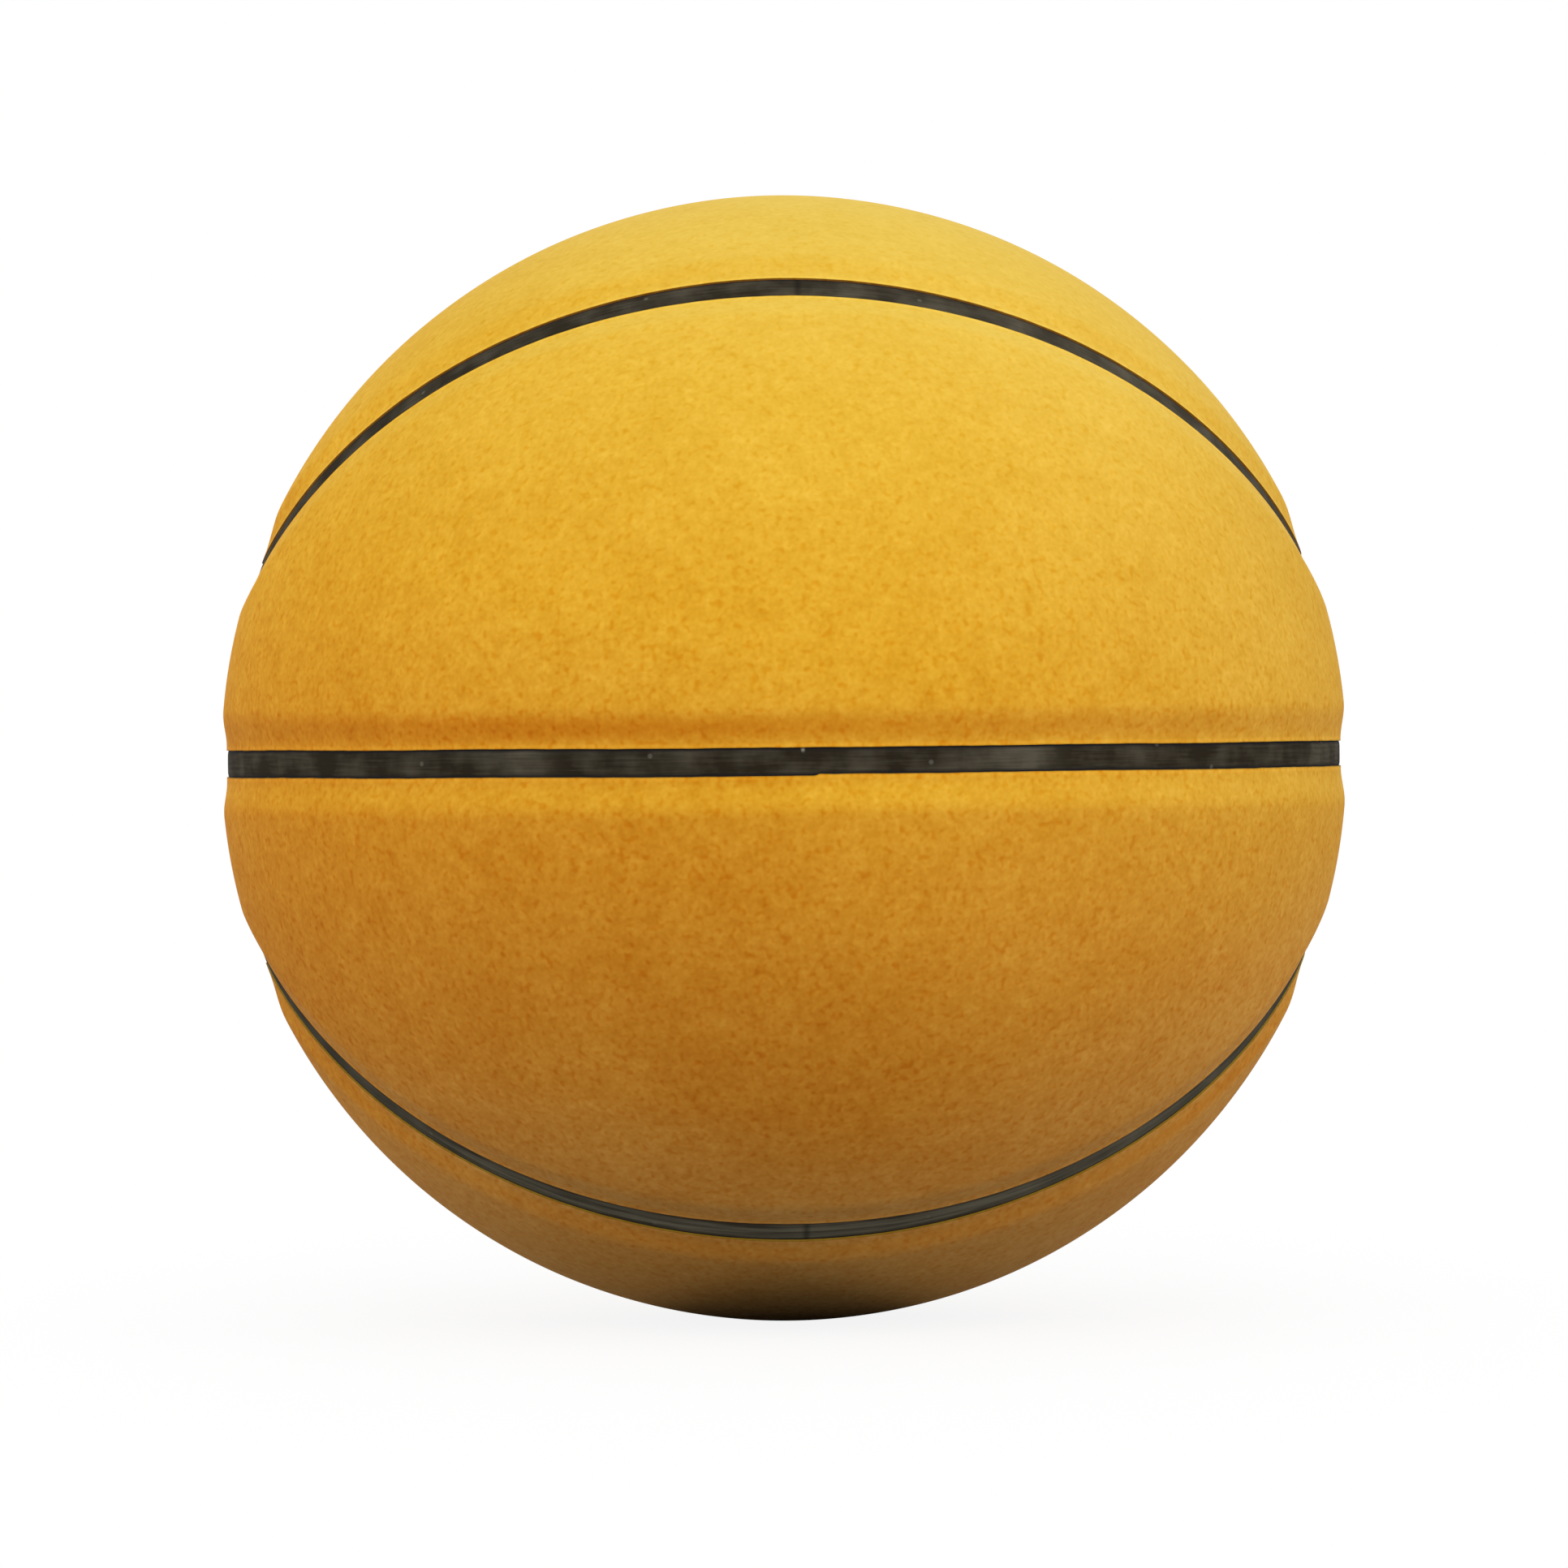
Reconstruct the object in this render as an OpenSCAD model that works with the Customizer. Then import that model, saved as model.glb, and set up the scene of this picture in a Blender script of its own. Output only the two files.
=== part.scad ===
/* [Ball] */
// Outside diameter over the crowns of the cover panels
ball_d = 241; // [200:1:246]

/* [Seam pattern] */
// Angle above the equator at which a loop passes the left and right side
loop_side_angle = 19.5; // [14:0.5:25]
// Angle above the equator at which a loop passes the front and the back
loop_front_angle = 55.2; // [46:0.1:60]

/* [Channels] */
// Width of the channel round the equator
equator_w = 5.8; // [4:0.1:8]
// Width of the two loop channels
loop_w = 5.6; // [4:0.1:8]
// Width of the channel that crosses the loops
cross_w = 5.8; // [4:0.1:8]
// Depth of a channel's strip under the crowns of the panels
channel_depth = 1.6; // [0.8:0.05:1.8]

/* [Cover panels] */
// Thickness of a panel at its crown, with its foam backing
panel_t = 2.3; // [1.9:0.1:3.5]
// Width over which a panel's edge rolls down to the channel
shoulder_w = 7.5; // [3:0.5:9]
// Height of a panel's cut edge above the strip beside it
edge_step = 0.25; // [0.1:0.05:0.5]

/* [Inner layers] */
// Wall of the moulded rubber carcass
carcass_t = 1.1; // [0.8:0.1:2]
// Thickness of the thread winding
winding_t = 0.6; // [0.5:0.1:1.2]
// Wall of the bladder
bladder_t = 0.7; // [0.5:0.1:1.5]
// Diameter of the patch that strengthens the bladder round the valve
patch_d = 32; // [24:1:50]
// Thickness of the patch
patch_t = 0.3; // [0.2:0.05:0.4]
// Room that the winding leaves round the patch
patch_gap = 0.1; // [0.05:0.05:0.2]

/* [Valve] */
// Diameter of the round pad that the equator strip widens to at the valve
pad_d = 12; // [10.5:0.5:16]
// Diameter of the housing's neck, which passes through the layers
neck_d = 8; // [7:0.5:9.5]
// Diameter of the housing's flange inside the bladder
flange_d = 24; // [16:1:36]
// Thickness of the flange
flange_t = 1; // [0.6:0.1:2]
// Diameter of the housing's body behind the flange
body_d = 9; // [7:0.5:14]
// Length of the body behind the flange
body_l = 11; // [6:0.5:18]
// Diameter of the plug that is pressed into the housing
plug_d = 4.6; // [4:0.1:5]
// Diameter of the plug's head
head_d = 6; // [5.4:0.1:6.6]
// Thickness of the plug's head
head_t = 1; // [0.6:0.1:1.6]
// Diameter of the hole that the inflation needle goes through
needle_hole_d = 2.3; // [1.6:0.1:2.8]
// Diameter of the flared mouth that guides the needle in
mouth_d = 3.6; // [3:0.1:4.4]
// Depth of the flared mouth
mouth_l = 0.6; // [0.3:0.1:0.8]

/* [Hidden] */

$fn = 144;

// Radii of the layers, from the crowns of the panels inwards
crown_r = ball_d / 2;
strip_r = crown_r - channel_depth;
carcass_r = crown_r - panel_t;
winding_r = carcass_r - carcass_t;
bladder_r = winding_r - winding_t;
bladder_in_r = bladder_r - bladder_t;

// Depth that a panel's edge drops below its crown
shoulder_drop = channel_depth - edge_step;
// Places across the shoulder at which its curve is drawn
shoulder_shares = [0, 0.25, 0.5, 0.75];
// Stations round one loop
loop_steps = 96;
// Radius past the ball at which the cutting shapes end
reach_r = 1.2 * crown_r;
// Place in the ball's hollow at which the clearing round the valve's pad starts
hollow_r = bladder_in_r / 2;
// Height of the point that closes a loop's cutting shape
apex_z = 4 * crown_r;

// Places along the valve's axis
flange_in_r = bladder_in_r - flange_t;
body_in_r = flange_in_r - body_l;
head_r = strip_r - head_t;
mouth_r = strip_r - mouth_l;

cover_colour = [0.91, 0.67, 0.17];
strip_colour = [0.2, 0.19, 0.17];
carcass_colour = [0.14, 0.14, 0.14];
thread_colour = [0.88, 0.86, 0.8];
bladder_colour = [0.09, 0.09, 0.1];
valve_colour = [0.16, 0.16, 0.17];

// Angle at the ball's centre that a length along its surface takes
function turn(length) = length / crown_r * 180 / PI;

function unit(v) = v / norm(v);

// A wall of a cutting shape is a list of points [length along the surface from the seam's middle, radius].

// A plain wall, straight out from the ball's centre
function plain_wall(half_w) = [[half_w, reach_r]];

// The wall that leaves a panel its rolled edge. It runs on in a straight line where it comes out through
// the crown.
function rolled_wall(half_w) =
    let (
        curve = [for (s = shoulder_shares)
            [half_w + shoulder_w * s, crown_r - shoulder_drop * (1 + cos(180 * s)) / 2]],
        top = [half_w + shoulder_w, crown_r],
        past = 2 * top - curve[len(curve) - 1]
    )
    concat(curve, [past, [past[0], reach_r]]);

// Direction from the ball's centre to station a of the upper loop, where an upright elliptic
// cylinder would meet the ball
function loop_direction(a) =
    let (x = cos(loop_side_angle) * cos(a), y = cos(loop_front_angle) * sin(a))
    [x, y, sqrt(1 - x * x - y * y)];

// Direction across the loop there, square to its path and towards the pole
function loop_across(a) =
    let (
        p = loop_direction(a),
        along = [
            -cos(loop_side_angle) * sin(a),
            cos(loop_front_angle) * cos(a),
            (pow(cos(loop_side_angle), 2) - pow(cos(loop_front_angle), 2)) * sin(a) * cos(a) / p[2]
        ]
    )
    unit(cross(p, along));

// A point beside the loop: so far towards the pole along the surface, at radius r
function beside_loop(a, length, r) =
    r * (loop_direction(a) * cos(turn(length)) + loop_across(a) * sin(turn(length)));

// A solid from the ball's centre to past its top, inside a wall that follows the loop on the side
// towards the pole (1) or the equator (-1)
module loop_side(wall, side) {
    n = loop_steps;
    m = len(wall);
    points = concat(
        [[0, 0, 0]],
        [for (p = wall) for (k = [0 : n - 1]) beside_loop(360 * k / n, side * p[0], p[1])],
        [[0, 0, apex_z]]
    );
    top = len(points) - 1;
    faces = concat(
        [for (k = [0 : n - 1]) [0, 1 + k, 1 + (k + 1) % n]],
        [for (i = [0 : m - 2]) for (k = [0 : n - 1])
            let (a = 1 + i * n + k, b = 1 + i * n + (k + 1) % n) each [[a, a + n, b + n], [a, b + n, b]]],
        [for (k = [0 : n - 1]) let (a = 1 + (m - 1) * n + k, b = 1 + (m - 1) * n + (k + 1) % n) [a, top, b]]
    );
    polyhedron(points, faces);
}

// Everything above a wall beside a seam in the plane z = 0
module seam_side(wall) {
    rotate_extrude()
        polygon(concat(
            [[0, 0]],
            [for (p = wall) p[1] * [cos(turn(p[0])), sin(turn(p[0]))]],
            [[reach_r, reach_r], [0, reach_r]]
        ));
}

module shell(outer_r, inner_r) {
    difference() {
        sphere(r = outer_r);
        sphere(r = inner_r);
    }
}

module cover_shell() {
    shell(crown_r, carcass_r);
}

module strip_shell() {
    shell(strip_r, carcass_r);
}

// Stands a shape that is drawn along +Z on the valve's axis, at the back of the ball
module at_valve() {
    rotate([-90, 0, 0]) children();
}

// Puts a shape that is drawn for z > 0 on the front side of the cross seam
module at_front() {
    rotate([90, 0, 0]) children();
}

module neck_hole() {
    at_valve() cylinder(d = neck_d, h = reach_r);
}

// The column in which the equator strip widens to its pad
module pad_column() {
    at_valve() cylinder(d = pad_d, h = reach_r);
}

// The same column with the rolled edge that the panels have round it
module pad_clearing() {
    at_valve() rotate_extrude()
        polygon(concat(
            [[0, hollow_r], [pad_d / 2, hollow_r]],
            [for (p = rolled_wall(pad_d / 2)) [p[0], sqrt(p[1] * p[1] - p[0] * p[0])]],
            [[0, reach_r]]
        ));
}

module side_panel() {
    difference() {
        intersection() {
            children();
            seam_side(rolled_wall(equator_w / 2));
            at_front() seam_side(rolled_wall(cross_w / 2));
        }
        loop_side(rolled_wall(loop_w / 2), -1);
    }
}

module front_side_panel() {
    side_panel() cover_shell();
}

// The side panel at the back, cut out round the valve's pad
module back_side_panel() {
    mirror([0, 1, 0]) side_panel() difference() {
        cover_shell();
        mirror([0, 1, 0]) pad_clearing();
    }
}

module crescent_panel() {
    intersection() {
        cover_shell();
        loop_side(rolled_wall(loop_w / 2), 1);
        at_front() seam_side(rolled_wall(cross_w / 2));
    }
}

module loop_strip() {
    difference() {
        intersection() {
            strip_shell();
            loop_side(plain_wall(loop_w / 2), -1);
        }
        loop_side(plain_wall(loop_w / 2), 1);
    }
}

// The band of the cross channel, all the way round
module cross_band() {
    difference() {
        strip_shell();
        at_front() seam_side(plain_wall(cross_w / 2));
        mirror([0, 1, 0]) at_front() seam_side(plain_wall(cross_w / 2));
    }
}

module cross_strip_over_pole() {
    intersection() {
        cross_band();
        loop_side(plain_wall(loop_w / 2), 1);
    }
}

// The short strip between the equator and the upper loop, on the right
module cross_strip_side() {
    difference() {
        intersection() {
            cross_band();
            seam_side(plain_wall(equator_w / 2));
            translate([0, -reach_r, 0]) cube([reach_r, 2 * reach_r, reach_r]);
        }
        loop_side(plain_wall(loop_w / 2), -1);
    }
}

module bladder() {
    color(bladder_colour)
        difference() {
            shell(bladder_r, bladder_in_r);
            neck_hole();
        }
}

module valve_patch() {
    color(valve_colour)
        at_valve() difference() {
            intersection() {
                shell(bladder_r + patch_t, bladder_r);
                cylinder(d = patch_d, h = reach_r);
            }
            cylinder(d = neck_d, h = reach_r);
        }
}

module valve_housing() {
    color(valve_colour)
        at_valve() difference() {
            union() {
                intersection() {
                    sphere(r = strip_r);
                    translate([0, 0, flange_in_r]) cylinder(d = neck_d, h = reach_r - flange_in_r);
                }
                intersection() {
                    shell(bladder_in_r, flange_in_r);
                    cylinder(d = flange_d, h = reach_r);
                }
                translate([0, 0, body_in_r]) cylinder(d = body_d, h = body_l + flange_t / 2);
            }
            translate([0, 0, body_in_r - flange_t]) cylinder(d = plug_d, h = reach_r - body_in_r);
            translate([0, 0, head_r]) cylinder(d = head_d, h = reach_r - head_r);
        }
}

module valve_plug() {
    color(valve_colour)
        at_valve() difference() {
            intersection() {
                sphere(r = strip_r);
                union() {
                    translate([0, 0, body_in_r]) cylinder(d = plug_d, h = reach_r - body_in_r);
                    translate([0, 0, head_r]) cylinder(d = head_d, h = reach_r - head_r);
                }
            }
            translate([0, 0, body_in_r - flange_t]) cylinder(d = needle_hole_d, h = reach_r - body_in_r);
            translate([0, 0, mouth_r])
                cylinder(d1 = needle_hole_d, d2 = 2 * mouth_d - needle_hole_d, h = 2 * mouth_l);
        }
}

module thread_winding() {
    color(thread_colour)
        difference() {
            shell(winding_r, bladder_r);
            neck_hole();
            at_valve() intersection() {
                sphere(r = bladder_r + patch_t + patch_gap);
                cylinder(d = patch_d + 2 * patch_gap, h = reach_r);
            }
        }
}

module carcass() {
    color(carcass_colour)
        difference() {
            shell(carcass_r, winding_r);
            neck_hole();
        }
}

module equator_channel() {
    color(strip_colour)
        difference() {
            union() {
                difference() {
                    strip_shell();
                    seam_side(plain_wall(equator_w / 2));
                    mirror([0, 0, 1]) seam_side(plain_wall(equator_w / 2));
                }
                intersection() {
                    strip_shell();
                    pad_column();
                }
            }
            neck_hole();
        }
}

module upper_loop_channel() {
    color(strip_colour) loop_strip();
}

module lower_loop_channel() {
    color(strip_colour) mirror([0, 0, 1]) loop_strip();
}

module cross_channel_top() {
    color(strip_colour) cross_strip_over_pole();
}

module cross_channel_bottom() {
    color(strip_colour) mirror([0, 0, 1]) cross_strip_over_pole();
}

module cross_channel_upper_right() {
    color(strip_colour) cross_strip_side();
}

module cross_channel_upper_left() {
    color(strip_colour) mirror([1, 0, 0]) cross_strip_side();
}

module cross_channel_lower_right() {
    color(strip_colour) mirror([0, 0, 1]) cross_strip_side();
}

module cross_channel_lower_left() {
    color(strip_colour) mirror([0, 0, 1]) mirror([1, 0, 0]) cross_strip_side();
}

module panel_upper_front() {
    color(cover_colour) front_side_panel();
}

module panel_upper_back() {
    color(cover_colour) back_side_panel();
}

module panel_lower_front() {
    color(cover_colour) mirror([0, 0, 1]) front_side_panel();
}

module panel_lower_back() {
    color(cover_colour) mirror([0, 0, 1]) back_side_panel();
}

module panel_top_front() {
    color(cover_colour) crescent_panel();
}

module panel_top_back() {
    color(cover_colour) mirror([0, 1, 0]) crescent_panel();
}

module panel_bottom_front() {
    color(cover_colour) mirror([0, 0, 1]) crescent_panel();
}

module panel_bottom_back() {
    color(cover_colour) mirror([0, 0, 1]) mirror([0, 1, 0]) crescent_panel();
}

bladder();
valve_patch();
valve_housing();
valve_plug();
thread_winding();
carcass();
equator_channel();
upper_loop_channel();
lower_loop_channel();
cross_channel_top();
cross_channel_bottom();
cross_channel_upper_right();
cross_channel_upper_left();
cross_channel_lower_right();
cross_channel_lower_left();
panel_upper_front();
panel_upper_back();
panel_lower_front();
panel_lower_back();
panel_top_front();
panel_top_back();
panel_bottom_front();
panel_bottom_back();
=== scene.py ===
import bisect
import math

import bmesh
import bpy
from mathutils import Matrix, Vector, kdtree, noise


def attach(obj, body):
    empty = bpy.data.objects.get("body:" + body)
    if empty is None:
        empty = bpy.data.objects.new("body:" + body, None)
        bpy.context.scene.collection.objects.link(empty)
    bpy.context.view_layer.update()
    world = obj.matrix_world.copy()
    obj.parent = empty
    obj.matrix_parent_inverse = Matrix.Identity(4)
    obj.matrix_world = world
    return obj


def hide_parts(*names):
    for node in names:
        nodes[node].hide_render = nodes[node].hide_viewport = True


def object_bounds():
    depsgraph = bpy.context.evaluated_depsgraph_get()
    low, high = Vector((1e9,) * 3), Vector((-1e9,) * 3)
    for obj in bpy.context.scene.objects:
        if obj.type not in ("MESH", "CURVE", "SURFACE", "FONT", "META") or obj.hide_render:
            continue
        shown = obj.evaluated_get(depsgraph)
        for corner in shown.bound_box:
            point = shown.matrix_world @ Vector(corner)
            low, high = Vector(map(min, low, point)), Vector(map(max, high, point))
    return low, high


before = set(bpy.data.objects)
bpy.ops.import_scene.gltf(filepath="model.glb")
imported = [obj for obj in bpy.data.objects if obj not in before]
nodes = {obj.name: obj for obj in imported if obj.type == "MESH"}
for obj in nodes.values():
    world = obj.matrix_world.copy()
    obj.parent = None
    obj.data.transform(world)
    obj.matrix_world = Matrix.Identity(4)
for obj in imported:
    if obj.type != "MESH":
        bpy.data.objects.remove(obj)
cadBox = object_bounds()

scene = bpy.context.scene


def reach(nodeName):
    # how far the skin of a node lies from the ball's centre
    return max(v.co.length for v in nodes[nodeName].data.vertices)


ball = dict(
    crown=reach("panel_upper_front"),      # top of the leather
    strip=reach("upper_loop_channel"),     # top of the rubber strips
    carcass=reach("carcass"),              # the shell that both are glued to
)

seams = dict(
    loopSide=math.radians(19.5),           # where a loop passes the ball's left and right side
    loopFront=math.radians(55.2),          # where it passes the front and the back
    equatorHalf=0.0029,                    # half widths of the channels
    loopHalf=0.0029,
    crossHalf=0.0029,
    swell=0.18,                            # share by which a loop widens towards its joint at the front
    swellPower=16,                         # how closely the wider part keeps to the joint
    padRadius=0.006,                       # round pad of the equator strip at the valve
    jointAngle=math.radians(-87.8),        # where the equator strip's ends meet, just right of the front
    jointStep=0.00035,                     # how much narrower its right end is, on the lower side
    jointRun=0.0008,                       # over what length it narrows
    shoulder=0.0085,                       # width over which a panel's edge rolls down
    shoulderDrop=0.00135,                  # how far it rolls down
)


# The seam pattern. Directions are worked out on the half with y > 0 and turned to their side afterwards.

def besideEquator(angle, offset):
    rise = offset / ball["crown"]
    return Vector((math.cos(angle) * math.cos(rise), math.sin(angle) * math.cos(rise), math.sin(rise)))


def besideCross(angle, offset):
    rise = offset / ball["crown"]
    return Vector((math.cos(angle) * math.cos(rise), math.sin(rise), math.sin(angle) * math.cos(rise)))


def besideLoop(angle, offset):
    # the loop is where an upright elliptic cylinder meets the ball; offset is positive towards the pole
    wide = math.cos(seams["loopSide"])
    deep = math.cos(seams["loopFront"])
    x = wide * math.cos(angle)
    y = deep * math.sin(angle)
    z = math.sqrt(1 - x * x - y * y)
    middle = Vector((x, y, z))
    slope = (wide * wide - deep * deep) * math.sin(angle) * math.cos(angle) / z
    tangent = Vector((-wide * math.sin(angle), deep * math.cos(angle), slope))
    across = middle.cross(tangent).normalized()
    rise = offset / ball["crown"]
    return middle * math.cos(rise) + across * math.sin(rise)


def equatorHalfWidth(angle, above):
    # the strip widens to a round pad at the valve, at a quarter turn, and steps in at its joint
    half = seams["equatorHalf"]
    pastValve = (angle - math.pi / 2) * ball["crown"]
    if abs(pastValve) < seams["padRadius"]:
        return max(half, math.sqrt(seams["padRadius"] ** 2 - pastValve ** 2))
    pastJoint = (angle - seams["jointAngle"]) * ball["crown"]
    if above or pastJoint < 0 or angle > 0:
        return half
    return half - seams["jointStep"] * min(1, pastJoint / seams["jointRun"])


def loopHalfWidth(angle):
    front = max(0, -math.sin(angle))
    return seams["loopHalf"] * (1 + seams["swell"] * front ** seams["swellPower"])


loopSamples = 3000
loopTree = kdtree.KDTree(loopSamples)
for k in range(loopSamples):
    loopTree.insert(besideLoop(math.tau * k / loopSamples, 0), k)
loopTree.balance()


lay = dict(
    seed=1,                                # without one the straying would follow the clock
    wander=0.00022,                        # how far a seam strays from its true line
    wanderLength=0.045,                    # over what length it strays
    ragged=0.00007,                        # unevenness of the cut edges
    raggedLength=0.0035,
    valveFade=0.02,                        # how near the valve the straying begins to die out
    uneven=0.00016,                        # how far the cover sinks between its high spots
    unevenLength=0.038,
)
noise.seed_set(lay["seed"])


def settle(direction):
    # the small wanderings of a hand-laid cover: every piece is moved alike, so that they still meet
    place = direction * ball["crown"]
    drift = noise.noise_vector(place / lay["wanderLength"]) * lay["wander"]
    drift += noise.noise_vector(place / lay["raggedLength"]) * lay["ragged"]
    # the valve stays where it is
    fade = min(1, max(0, (1 - direction.y) / lay["valveFade"]))
    return (place + drift * fade).normalized()


def pathTable(pointAt, start, end, count=900):
    points = [pointAt(start + (end - start) * k / count) for k in range(count + 1)]
    lengths = [0]
    for before, after in zip(points, points[1:]):
        lengths.append(lengths[-1] + (after - before).length * ball["crown"])
    return points, lengths


def alongPath(path, distance):
    points, lengths = path
    k = min(max(bisect.bisect_right(lengths, distance), 1), len(lengths) - 1)
    share = (distance - lengths[k - 1]) / (lengths[k] - lengths[k - 1])
    return points[k - 1].lerp(points[k], share).normalized()


def angleAtCross(pointAt, low=0, high=1, halvings=40):
    # the angle at which a path comes out from under the cross channel
    wanted = math.sin(seams["crossHalf"] / ball["crown"])
    for _ in range(halvings):
        middle = (low + high) / 2
        if pointAt(middle).y < wanted:
            low = middle
        else:
            high = middle
    return low


skin = dict(
    sameSpot=1e-6,                         # points closer than this are one point
    crease=math.radians(35),               # edges sharper than this stay sharp
)


def layOnBall(name, columns, ring=False):
    # columns holds, for each station, its (point, along, across, edge distance) from side to side
    rows = len(columns[0])
    bm = bmesh.new()
    uvLayer = bm.loops.layers.uv.new("UVMap")
    edgeLayer = bm.verts.layers.float.new("edgeDistance")
    bmesh.ops.create_grid(bm, x_segments=len(columns) - 1, y_segments=rows - 1, size=1)
    bm.verts.ensure_lookup_table()
    flat = [columns[k % len(columns)][k // len(columns)] for k in range(len(bm.verts))]
    for vert, (point, along, across, edge) in zip(bm.verts, flat):
        vert.co = point
        vert[edgeLayer] = edge
    for face in bm.faces:
        for corner in face.loops:
            corner[uvLayer].uv = flat[corner.vert.index][1:3]
    if ring:
        bmesh.ops.remove_doubles(bm, verts=bm.verts[:], dist=skin["sameSpot"])
    grown = bmesh.ops.extrude_face_region(bm, geom=bm.faces[:])
    for item in grown["geom"]:
        if isinstance(item, bmesh.types.BMVert):
            item.co = item.co.normalized() * ball["carcass"]
    bmesh.ops.recalc_face_normals(bm, faces=bm.faces[:])
    for face in bm.faces:
        face.smooth = True
    for edge in bm.edges:
        edge.smooth = edge.calc_face_angle(0) < skin["crease"]
    mesh = bpy.data.meshes.new(name)
    bm.to_mesh(mesh)
    bm.free()
    piece = bpy.data.objects.new(name, mesh)
    scene.collection.objects.link(piece)
    return piece


# Materials

def linearColour(hexCode):
    parts = [int(hexCode[k:k + 2], 16) / 255 for k in (1, 3, 5)]
    return [p / 12.92 if p <= 0.04045 else ((p + 0.055) / 1.055) ** 2.4 for p in parts] + [1]


def addNode(tree, kind, values=None, links=None, stops=None, **settings):
    made = tree.nodes.new(kind)
    for key, value in settings.items():
        setattr(made, key, value)
    for socket, value in (values or {}).items():
        made.inputs[socket].default_value = value
    for socket, source in (links or {}).items():
        tree.links.new(source, made.inputs[socket])
    for k, (place, colour) in enumerate(stops or []):
        # a ramp comes with its two ends
        ramp = made.color_ramp.elements
        stop = ramp[k] if k < 2 else ramp.new(place)
        stop.position = place
        stop.color = colour
    return made


def newMaterial(name):
    material = bpy.data.materials.new(name)
    material.use_nodes = True
    material.node_tree.nodes.clear()
    return material, material.node_tree


leather = dict(
    paintedLightFrom=(0.2, 0, 0.98),              # the side the painted light comes from: above, and a little to the right
    # the leather's dye with painted light in it, by how far the surface faces that side, from turned away to
    # facing it, the two ends first
    dyeAndPaintedLight=(
        (0.0, "#DAA254"),
        (1.0, "#EBC854"),
        (0.2, "#D38A2A"),
        (0.4, "#DA9224"),
        (0.6, "#E3A82A"),
        (0.8, "#E4B438"),
    ),
    # painted light: its right and lower right sides are painted paler, as if lit from there: the side, the
    # colour it turns to, the share, and how squarely a surface faces that side where the paling starts and
    # where it is full
    paintedPaleSides=(
        ((1, 0, 0), "#E6C08C", 0.06, 0.15, 0.9),
        ((0.5, 0, -0.87), "#F2C070", 0.27, 0.6, 0.95),
    ),
    # unevenness of the dye: size, finer layers in it, how strong those are, and its share
    tufts=((0.00175, 1.0, 0.87, 0.85), (0.007, 1.0, 1.0, 0.5), (0.04, 2.0, 0.5, 0.5)),
    depth=0.41,                            # how much more dye the dark tufts hold than the pale ones
    shade=0.19,                            # how much darker they are
    calm=0.45,                             # share of that unevenness left where the painted light is strongest
    calmFrom=0.6,                          # where on the painted light's facing scale it begins to lessen
    pore=0.0013,                           # sparse small flecks where a pore took more dye
    poreFrom=0.56,
    poreTo=0.86,
    poreDepth=0.27,
    paintedShoulderShade=0.22,                           # painted shade: more and deeper colour where a rolled edge faces a little down
    paintedShadeAt=0.37,                         # how it faces there, on the painted light's facing scale, and over what range
    paintedShadeSpan=0.12,
    paintedShadeFoot=0.5,                        # share of the shoulder over which it comes in
    paintedShadeBrow=0.55,                       # and the share from which it goes
    paintedShadeLeft=0.4,                        # share of that painted shade left at the ball's left side
    leftFrom=-0.95,                        # how far the surface faces right there, and where the side ends
    leftTo=-0.45,
    pale=1.1,                              # painted highlight: along the channels the cut edge is painted paler, where it would catch the light
    paleFrom=0.00055,                      # between these distances it goes over into the rest
    paleTo=0.0011,
    paintedWallTone=0.45,                         # painted shade: the cut wall below it is painted dark
    wallWidth=0.000275,
    nap=0.0011,                            # the short nap that catches the light
    napHeight=0.00005,
    napStrength=0.4,
    bloom="#FFE9C4",                       # sheen of the nap seen edge on
    bloomWeight=0.04,
    bloomSpread=0.5,
    roughness=0.9,                         # brushed leather has next to no gloss
    gloss=0.06,
    sideCut=(0.31, 0.17, 0.05),            # every panel is cut from another spot of the hide: how far apart
    crescentCut=(0.23, 0.41, 0.6),
)


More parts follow.
